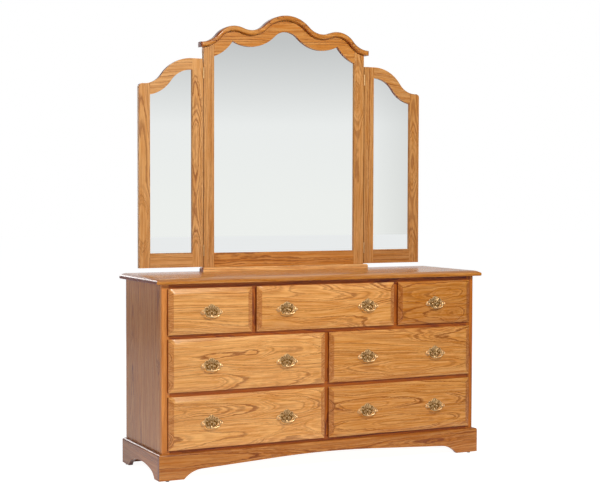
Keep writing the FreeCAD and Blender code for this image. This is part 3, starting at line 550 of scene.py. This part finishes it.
def make_top_board():
    """The top board, glued from four staves, bevelled on three sides."""
    low, high = (Vector(c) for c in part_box("case_top"))
    shape = bmesh.new()
    number = shape.faces.layers.int.new("solid")
    rings = []
    for inset, rise in TOP_EDGE:
        left, right, front, z = (low.x + inset * MM, high.x - inset * MM, low.y + inset * MM,
                                 low.z + rise * MM)
        rings.append([shape.verts.new(c) for c in (
            (left, front, z), (right, front, z), (right, high.y, z), (left, high.y, z))])
    for below, above in zip(rings, rings[1:]):
        for i in range(4):
            n = (i + 1) % 4
            shape.faces.new((below[i], below[n], above[n], above[i]))
    shape.faces.new(rings[0][::-1])
    shape.faces.new(rings[-1])
    for face in shape.faces:
        face[number] = 0
    sawn(shape, "case_top", staves=4, tone=TONES_AND_SHADE["case_top"])
    piece("case_top", shape, "case", OAK)


make_top_board()

# --- pulls -------------------------------------------------------------------
# In a pull's own frame, u runs to the right, w up from the bail's axis and h out
# from the drawer front, in mm. Half of the plate's outline, from the top down:
# the middle and end points of its arcs.
PLATE_ARCS = (((9, 30.9), (15, 25.5)), ((18, 23.1), (22, 22.8)), ((29, 20.4), (33, 14.3)),
              ((35.5, 11.9), (39, 11.6)), ((45.5, 7.8), (50, 1.0)), ((49.5, -4.5), (45, -7.5)),
              ((38, -9.8), (31, -8.5)), ((26.5, -9.5), (24, -13)), ((17, -17.5), (9.5, -15)),
              ((8.2, -22), (0, -25)))
PLATE_TOP = 34
PLATE_LOW = -26
# The relief's lowest face above the drawer front, and the rim's corner.
PLATE_FACE = 1.1
PLATE_CORNER = 0.9
# The posts' distance from the middle, how far the bail's axis stands out, and
# where the flat fields of the drawer fronts lie in the room.
POST_APART = 41
AXIS_OUT = 14.5
FIELD_Y = -232.5


def arc_points(a, b, c, steps):
    """Points on the circle from a through b to c, without a."""
    a, b, c = (Vector(p) for p in (a, b, c))
    ab, ac = b - a, c - a
    cross = 2 * (ab.x * ac.y - ab.y * ac.x)
    middle = a + Vector((ac.y * ab.length_squared - ab.y * ac.length_squared,
                         ab.x * ac.length_squared - ac.x * ab.length_squared)) / cross
    start = math.atan2(a.y - middle.y, a.x - middle.x)
    turn = math.tau
    full = (math.atan2(c.y - middle.y, c.x - middle.x) - start) % turn
    half = (math.atan2(b.y - middle.y, b.x - middle.x) - start) % turn
    if half > full:
        full -= turn
    size = (a - middle).length
    return [(middle.x + size * math.cos(start + full * i / steps),
             middle.y + size * math.sin(start + full * i / steps))
            for i in range(1, steps + 1)]


def plate_outline():
    """The whole outline, anticlockwise from the top middle."""
    half = [(0, PLATE_TOP)]
    for middle, end in PLATE_ARCS:
        steps = max(4, round((Vector(end) - Vector(half[-1])).length / 1.3))
        half += arc_points(half[-1], middle, end, steps)
    return [(-u, w) for u, w in half] + half[-2:0:-1]


def spiral(u, w, start, turns, wide, tight):
    """A scroll's middle line that winds in from a wide to a tight radius."""
    steps = 26
    line = []
    for i in range(steps + 1):
        angle = math.radians(start) + math.tau * turns * i / steps
        radius = wide * (tight / wide) ** (i / steps)
        line.append((u + radius * math.cos(angle), w + radius * math.sin(angle)))
    return line


# The cast scrollwork of the right half: middle line, height and half width in mm.
SCROLLS = (
    (spiral(22.5, 11.5, 120, 1.5, 8.6, 1.3), 1.9, 1.4),
    (spiral(13.5, -4.5, 245, -1.6, 8.4, 1.3), 2.1, 1.5),
    ([(6.5, -1.5), (6.0, 5.0), (9.5, 11.5), (15.0, 15.0)], 1.6, 1.4),
    ([(30, 5), (34, 7.2), (38, 7.4), (43, 5.6)], 1.4, 1.2),
    ([(26, -3), (31, -5.2), (36, -6.6), (42, -5.6)], 1.4, 1.2),
    ([(0, -9), (2.6, -12), (1.0, -15)], 1.3, 1.5),
)


def distance_to(line, u, w):
    """How far a point is from a line of points, and how far along the nearest place is."""
    best, share = math.inf, 0
    last = len(line) - 1
    for i in range(last):
        (au, aw), (bu, bw) = line[i], line[i + 1]
        du, dw = bu - au, bw - aw
        t = max(0, min(1, ((u - au) * du + (w - aw) * dw) / (du * du + dw * dw)))
        away = math.hypot(u - au - t * du, w - aw - t * dw)
        if away < best:
            best, share = away, (i + t) / last
    return best, share


def swell(away, width):
    """A rounded ridge's height share at a distance from its middle line."""
    return math.sqrt(max(0, 1 - (away / width) ** 2))


def plate_height(u, w, rim):
    """The cast relief's height at a point, rim being its distance from the outline."""
    high = PLATE_CORNER if rim < 0.2 else PLATE_FACE + 1.4 * swell(rim - 1.6, 1.4)
    # A fan of ribs fills the dome, round a small boss.
    out = math.hypot(u, w - 4)
    turn = math.atan2(u, w - 4)
    if 5 < out < 27 and abs(turn) < 0.85:
        fade = min(1, (out - 5) / 3, (27 - out) / 2, (0.85 - abs(turn)) / 0.1)
        high = max(high, 1.0 + (0.2 + 1.7 * abs(math.cos(turn * 8)) ** 1.5) * fade)
    high = max(high, PLATE_FACE + 1.8 * swell(math.hypot(u, (w - 3) * 0.85), 3.6))
    # The round drop below.
    high = max(high, PLATE_FACE + 3.2 * swell(math.hypot(u, w + 18.6), 5.6))
    for line, tall, width in SCROLLS:
        away, share = distance_to(line, abs(u), w)
        # A scroll grows thinner towards its eye.
        width *= 1 - 0.35 * share
        if away < width:
            high = max(high, PLATE_FACE + tall * swell(away, width))
    return high


def cast_plate():
    """The pull's plate as one closed casting, its dips marked."""
    outline = plate_outline()
    ring = outline + outline[:1]
    count = len(outline)
    points = [Vector(p) for p in outline]
    # Points inside the outline, 0.85 mm apart in rows that lie 0.87 of that apart, each
    # second row shifted by half, so that their triangles have nearly equal sides.
    step = 0.85
    share = 0.87
    for row in range(math.ceil((PLATE_TOP - PLATE_LOW) / (step * share))):
        w = PLATE_LOW + row * step * share
        crossings = sorted(au + (w - aw) * (bu - au) / (bw - aw)
                           for (au, aw), (bu, bw) in zip(ring, ring[1:])
                           if (aw <= w) != (bw <= w))
        for low, high in zip(crossings[::2], crossings[1::2]):
            for column in range(math.floor(low / step) - 1, math.ceil(high / step) + 1):
                u = (column + 0.5 * (row % 2)) * step
                if low < u < high and distance_to(ring, u, w)[0] > 0.5 * step:
                    points.append(Vector((u, w)))
    edges = [(i, (i + 1) % count) for i in range(count)]
    flat, _, faces, origins, _, _ = delaunay_2d_cdt(points, edges, [], 1, 1e-5)
    shape = bmesh.new()
    patina_and_shade_marks = shape.verts.layers.float.new("patina_and_shade")
    top = []
    for u, w in flat:
        rim = distance_to(ring, u, w)[0]
        high = plate_height(u, w, rim)
        made = shape.verts.new((u, w, high))
        # Low places keep the patina, and the wings less of it than the middle.
        made[patina_and_shade_marks] = (max(0, min(1, 0.95 - (high - PLATE_FACE) / 2.0))
                      * (1 if abs(u) < 27 else 0.4))
        top.append(made)
    for face in faces:
        shape.faces.new([top[i] for i in face])
    rim = [next(i for i, known in enumerate(origins) if k in known) for k in range(count)]
    foot = [shape.verts.new((flat[i][0], flat[i][1], 0)) for i in rim]
    for k in range(count):
        n = (k + 1) % count
        shape.faces.new((top[rim[n]], top[rim[k]], foot[k], foot[n]))
    shape.faces.new(foot[::-1])
    return shape


def turned(shape, profile, start, axis, around=20):
    """A turned piece: (distance along the axis, radius) pairs in mm, ends closed."""
    axis = Vector(axis)
    side = axis.orthogonal().normalized()
    other = axis.cross(side)
    rows = []
    for along, radius in profile:
        middle = Vector(start) + axis * along
        if radius == 0:
            rows.append([shape.verts.new(middle)])
            continue
        rows.append([shape.verts.new(middle + radius * (side * math.cos(a) + other * math.sin(a)))
                     for a in (math.tau * i / around for i in range(around))])
    for low, high in zip(rows, rows[1:]):
        for i in range(around):
            n = (i + 1) % around
            corners = [low[i % len(low)], low[n % len(low)], high[n % len(high)],
                       high[i % len(high)]]
            shape.faces.new(list(dict.fromkeys(corners)))


# Rosette, waist and collar of a post, then the barrel that holds the bail's end.
POST_FOOT = 1.0
POST = ((0.0, 0), (0.0, 5.2), (1.2, 5.5), (2.1, 5.0), (2.6, 3.9), (3.4, 4.2), (4.2, 3.7),
        (5.2, 2.9), (8.0, 2.4), (10.2, 2.6), (11.5, 2.7), (12.6, 0))
BARREL = ((-3.0, 0), (-3.0, 3.0), (-2.6, 4.3), (-1.6, 4.9), (0.0, 5.0), (1.6, 4.9),
          (2.6, 4.3), (3.0, 3.4), (3.0, 2.6), (1.6, 2.5), (1.6, 0))


def pull_hardware():
    """The plate with both posts, in the pull's frame."""
    shape = cast_plate()
    for side in (-1, 1):
        turned(shape, [(along + POST_FOOT, radius) for along, radius in POST],
               (side * POST_APART, 0, 0), (0, 0, 1))
        turned(shape, BARREL, (side * POST_APART, 0, AXIS_OUT), (-side, 0, 0))
    mesh = bpy.data.meshes.new("pull_hardware")
    shape.to_mesh(mesh)
    shape.free()
    return mesh


# Where the pulls' middles and the bails' axes lie in the room, in mm.
OUTER = 547
INNER = 198.156
PULLS = {"top_left": (-OUTER,), "top_middle": (-INNER, INNER), "top_right": (OUTER,),
         "middle_left": (-OUTER, -INNER), "middle_right": (INNER, OUTER),
         "bottom_left": (-OUTER, -INNER), "bottom_right": (INNER, OUTER)}
ROW_AXIS = {"top": 697, "middle": 472, "bottom": 232}


def place_pull(shape, mesh, x, z):
    """Add a copy of a mesh in the pull's frame to a shape in the room's frame."""
    old = set(shape.verts)
    shape.from_mesh(mesh)
    for vertex in shape.verts:
        if vertex not in old:
            u, w, h = vertex.co
            vertex.co = ((x + u) * MM, (FIELD_Y - h) * MM, (z + w) * MM)


def bail_tree():
    """Geometry nodes: a rod along a line, as thick as the line's girth says."""
    tree = bpy.data.node_groups.new("bail_rod", "GeometryNodeTree")
    sockets = {}
    for name, kind, way in (("Geometry", "NodeSocketGeometry", "INPUT"),
                            ("Spacing", "NodeSocketFloat", "INPUT"),
                            ("Thickness", "NodeSocketFloat", "INPUT"),
                            ("Finish", "NodeSocketMaterial", "INPUT"),
                            ("Rod", "NodeSocketGeometry", "OUTPUT")):
        sockets[name] = tree.interface.new_socket(name, in_out=way, socket_type=kind)
    given = add(tree, "NodeGroupInput").outputs
    line = add(tree, "GeometryNodeMeshToCurve", {"Mesh": given["Geometry"]}).outputs[0]
    line = add(tree, "GeometryNodeResampleCurve", {"Curve": line, "Length": given["Spacing"]},
               mode="LENGTH").outputs[0]
    girth = add(tree, "GeometryNodeInputNamedAttribute", {"Name": "girth"}).outputs[0]
    size = add(tree, "ShaderNodeMath", {0: girth, 1: given["Thickness"]},
               operation="MULTIPLY").outputs[0]
    ring = add(tree, "GeometryNodeCurvePrimitiveCircle", {"Resolution": 14,
                                                          "Radius": 1.0}).outputs[0]
    rod = add(tree, "GeometryNodeCurveToMesh", {"Curve": line, "Profile Curve": ring,
                                                "Scale": size, "Fill Caps": True}).outputs[0]
    rod = add(tree, "GeometryNodeSetMaterial", {"Geometry": rod,
                                                "Material": given["Finish"]}).outputs[0]
    whole = add(tree, "GeometryNodeRealizeInstances", {"Geometry": rod}).outputs[0]
    add(tree, "NodeGroupOutput", {"Rod": whole})
    return tree, sockets


# The right half of a bail's middle line, from its end in the barrel to the bottom,
# and how thick the rod is there: it swells at its corners and in a middle bead.
BAIL_LINE = ((42.0, 0, 0.62), (38.8, 0, 0.62), (35.6, -0.4, 0.62), (32.6, -1.9, 0.62),
             (30.5, -4.6, 0.64), (29.7, -8.0, 0.7), (29.5, -10.6, 0.78), (28.4, -13.2, 0.9),
             (25.9, -15.4, 1.0), (22, -16.8, 1.02), (18, -17.9, 0.9), (13, -18.9, 0.76),
             (7, -19.7, 0.74), (4.6, -19.9, 0.82), (3.2, -20, 1.14), (0, -20, 1.2))


def smooth_line(points, parts=5):
    """A Catmull-Rom curve through points."""
    ends = [points[0], *points, points[-1]]
    line = []
    for p, a, b, n in zip(ends, ends[1:], ends[2:], ends[3:]):
        for i in range(parts):
            t = i / parts
            line.append(tuple(0.5 * (2 * a[k] + (b[k] - p[k]) * t
                                     + (2 * p[k] - 5 * a[k] + 4 * b[k] - n[k]) * t * t
                                     + (3 * a[k] - p[k] - 3 * b[k] + n[k]) * t ** 3)
                              for k in range(len(a))))
    return line + [points[-1]]


def bail_mesh(tree, sockets):
    """One bail in the pull's frame, baked from the rod tree."""
    half = smooth_line(BAIL_LINE)
    line = half + [(-u, w, girth) for u, w, girth in half[-2::-1]]
    path = bpy.data.meshes.new("bail_path")
    path.from_pydata([(u * MM, w * MM, AXIS_OUT * MM) for u, w, _ in line],
                     [(i, i + 1) for i in range(len(line) - 1)], [])
    girths = path.attributes.new("girth", "FLOAT", "POINT")
    for entry, (_, _, girth) in zip(girths.data, line):
        entry.value = girth
    carrier = bpy.data.objects.new("bail_path", path)
    bpy.context.scene.collection.objects.link(carrier)
    rod = carrier.modifiers.new("rod", "NODES")
    rod.node_group = tree
    for name, value in (("Spacing", 1.2 * MM), ("Thickness", 2.7 * MM), ("Finish", BRASS)):
        rod[sockets[name].identifier] = value
    bpy.context.view_layer.update()
    graph = bpy.context.evaluated_depsgraph_get()
    mesh = bpy.data.meshes.new_from_object(carrier.evaluated_get(graph))
    mesh.name = "bail"
    for vertex in mesh.vertices:
        vertex.co /= MM
    # Painted shade: the sides that face outwards and down get the dark patina colour, for the
    # bail's shaded underside.
    patina_and_shade_marks = mesh.attributes.new("patina_and_shade", "FLOAT", "POINT")
    for entry, vertex in zip(patina_and_shade_marks.data, mesh.vertices):
        outwards = Vector((vertex.co.x * 0.6, vertex.co.y - 2, 0)).normalized()
        entry.value = max(0, min(1, (vertex.normal.dot(outwards) - 0.05) / 0.5))
    bpy.data.objects.remove(carrier)
    return mesh


def make_pulls():
    """Plates with their posts on the drawers, and a swinging bail on each."""
    hardware = pull_hardware()
    bail = bail_mesh(*bail_tree())
    for drawer, places in PULLS.items():
        z = ROW_AXIS[drawer.split("_")[0]]
        shape = bmesh.new()
        for x in places:
            place_pull(shape, hardware, x, z)
        piece("pull_plates_" + drawer, shape, "drawer_" + drawer, BRASS)
        for x, side in zip(places, ("_left", "_right") if len(places) > 1 else ("",)):
            node = "bail_" + drawer + side
            shape = bmesh.new()
            place_pull(shape, bail, x, z)
            piece(node, shape, node + "_body", BRASS)


make_pulls()


def floor_material():
    """White paper: white to the camera and far off, glowing close in front of the dresser, and it
    keeps a soft shadow.
    """
    material, tree = new_material("white_paper")
    path = add(tree, "ShaderNodeLightPath")
    place = add(tree, "ShaderNodeTexCoord").outputs["Object"]
    # Far off, in the mirrors, it is nearly as bright as the wall above it.
    away = add(tree, "ShaderNodeVectorMath", {0: place}, operation="LENGTH").outputs["Value"]
    far = add(tree, "ShaderNodeMapRange", {"Value": away, "From Min": 9, "From Max": 15,
                                           "To Max": 0.84}).outputs[0]
    far = add(tree, "ShaderNodeMath", {0: far, 1: path.outputs["Is Glossy Ray"]},
              operation="MULTIPLY").outputs[0]
    # Close in front of the dresser the paper glows to every ray, a painted glow that
    # lights the lower fronts as a lamp would; behind it the paper glows only in the lacquer.
    depth = add(tree, "ShaderNodeSeparateXYZ", {0: place}).outputs["Y"]
    front = add(tree, "ShaderNodeMapRange", {"Value": depth, "From Min": -0.62, "From Max": -0.3,
                                             "To Max": 0.7}).outputs[0]
    back = add(tree, "ShaderNodeMath", {0: depth, 1: 0.0}, operation="GREATER_THAN").outputs[0]
    fade = add(tree, "ShaderNodeMapRange", {"Value": away, "From Min": 0.9, "From Max": 3.5,
                                            "To Min": 0.6, "To Max": 0.15}).outputs[0]
    fade = add(tree, "ShaderNodeMath", {0: fade, 1: path.outputs["Is Glossy Ray"]},
               operation="MULTIPLY").outputs[0]
    near = add(tree, "ShaderNodeMix", {0: back, 2: front, 3: fade}).outputs[0]
    seen = add(tree, "ShaderNodeMath", {0: far, 1: near}, operation="MAXIMUM").outputs[0]
    seen = add(tree, "ShaderNodeMath", {0: path.outputs["Is Camera Ray"], 1: seen},
               operation="MAXIMUM").outputs[0]
    # The rest of the paper is lit by the lamps, and that keeps the shadow.
    share = add(tree, "ShaderNodeMath", {0: seen, 1: 0.6}, operation="MULTIPLY")
    paper = add(tree, "ShaderNodeBsdfDiffuse", {"Color": colour("#f4f4f4")})
    glow = add(tree, "ShaderNodeEmission", {"Strength": 1.58})
    both = add(tree, "ShaderNodeMixShader", {0: share.outputs[0], 1: paper.outputs[0],
                                             2: glow.outputs[0]})
    add(tree, "ShaderNodeOutputMaterial", {"Surface": both.outputs[0]})
    return material


def make_floor():
    """A sheet of paper that reaches 30 m to each side."""
    reach = 30
    mesh = bpy.data.meshes.new("floor")
    mesh.from_pydata([(-reach, -reach, 0), (reach, -reach, 0), (reach, reach, 0),
                      (-reach, reach, 0)], [], [range(4)])
    mesh.materials.append(floor_material())
    made = bpy.data.objects.new("floor", mesh)
    bpy.context.scene.collection.objects.link(made)


make_floor()


def make_world():
    """White to the camera, pale walls in reflections, a cool dim fill elsewhere."""
    world = bpy.data.worlds.new("studio")
    world.use_nodes = True
    tree = world.node_tree
    tree.nodes.clear()
    path = add(tree, "ShaderNodeLightPath")
    way = add(tree, "ShaderNodeTexCoord").outputs["Generated"]
    height = add(tree, "ShaderNodeSeparateXYZ", {0: way}).outputs["Z"]
    height = add(tree, "ShaderNodeMapRange", {"Value": height, "From Min": -0.2,
                                              "From Max": 0.6}).outputs[0]
    walls = add(tree, "ShaderNodeValToRGB", {"Fac": height}, stops=(
        (0.0, "#f6f6f4"), (0.24, "#f3f4f2"), (0.315, "#f0f1f1"), (0.39, "#c8c9ca"),
        (0.6, "#c2c3c5"), (1.0, "#ffffff"))).outputs["Color"]
    # Behind the dresser it is white, and dark screens stand left and far right.
    aside = add(tree, "ShaderNodeSeparateXYZ", {0: way}).outputs
    behind = add(tree, "ShaderNodeMapRange", {"Value": aside["Y"], "From Max": 0.2}).outputs[0]
    walls = add(tree, "ShaderNodeMix", {0: behind, 6: walls, 7: colour("#ffffff")},
                data_type="RGBA").outputs[2]
    sideways = add(tree, "ShaderNodeMapRange", {"Value": aside["X"], "From Min": -1,
                                                "From Max": 1}).outputs[0]
    screens = add(tree, "ShaderNodeValToRGB", {"Fac": sideways}, stops=(
        (0.0, "#68686e"), (0.45, "#68686e"), (0.6, "#ffffff"), (0.742, "#ffffff"),
        (0.8, "#a0a0a0"), (1.0, "#606060"))).outputs["Color"]
    walls = add(tree, "ShaderNodeMix", {0: 1.0, 6: walls, 7: screens}, data_type="RGBA",
                blend_type="MULTIPLY").outputs[2]
    fill = add(tree, "ShaderNodeBackground", {"Color": colour("#dbe4f0"), "Strength": 0.2})
    mirrored = add(tree, "ShaderNodeBackground", {"Color": walls, "Strength": 1})
    backdrop = add(tree, "ShaderNodeBackground", {"Color": colour("#ffffff"), "Strength": 1})
    inner = add(tree, "ShaderNodeMixShader", {0: path.outputs["Is Glossy Ray"],
                                              1: fill.outputs[0], 2: mirrored.outputs[0]})
    outer = add(tree, "ShaderNodeMixShader", {0: path.outputs["Is Camera Ray"],
                                              1: inner.outputs[0], 2: backdrop.outputs[0]})
    add(tree, "ShaderNodeOutputWorld", {"Surface": outer.outputs[0]})
    bpy.context.scene.world = world


def lamp(name, place, target, size, watts, code="#ffffff"):
    """A rectangular soft box aimed at a point."""
    data = bpy.data.lights.new(name, "AREA")
    data.shape = "RECTANGLE"
    data.size, data.size_y = size
    data.energy = watts
    data.color = colour(code)[:3]
    made = bpy.data.objects.new(name, data)
    made.location = place
    made.rotation_mode = "QUATERNION"
    made.rotation_quaternion = (Vector(target) - Vector(place)).to_track_quat("-Z", "Y")
    bpy.context.scene.collection.objects.link(made)


make_world()
lamp("key_light", (0.0, -3.5, 3.0), (0, 0, 0.85), (0.6, 0.5), 126, "#fffaf2")
lamp("side_light", (-4.0, -0.6, 1.6), (0, 0, 0.6), (2.0, 2.0), 30)
lamp("top_light", (-0.4, -0.9, 4.2), (0, 0, 0.85), (2.0, 1.6), 8)
lamp("back_light", (-1.0, 5.0, 1.9), (0, 0, 0.9), (1.6, 2.0), 60)


def make_camera():
    """The photograph's point of view: turned 26 degrees and a little downwards.

    Its place, angles in radians and lens were fitted to the dresser's corners.
    """
    yaw, pitch, roll = 0.45875, -0.04025, 0.00246
    data = bpy.data.cameras.new("camera")
    data.sensor_width = 36
    data.lens = 80.98
    made = bpy.data.objects.new("camera", data)
    made.location = (-2.7048, -5.4330, 1.1835)
    ahead = Vector((math.sin(yaw) * math.cos(pitch), math.cos(yaw) * math.cos(pitch),
                    math.sin(pitch)))
    made.rotation_mode = "QUATERNION"
    made.rotation_quaternion = ahead.to_track_quat("-Z", "Y") @ Quaternion((0, 0, 1), roll)
    bpy.context.scene.collection.objects.link(made)
    bpy.context.scene.camera = made


make_camera()
bpy.context.scene.view_settings.view_transform = "Standard"
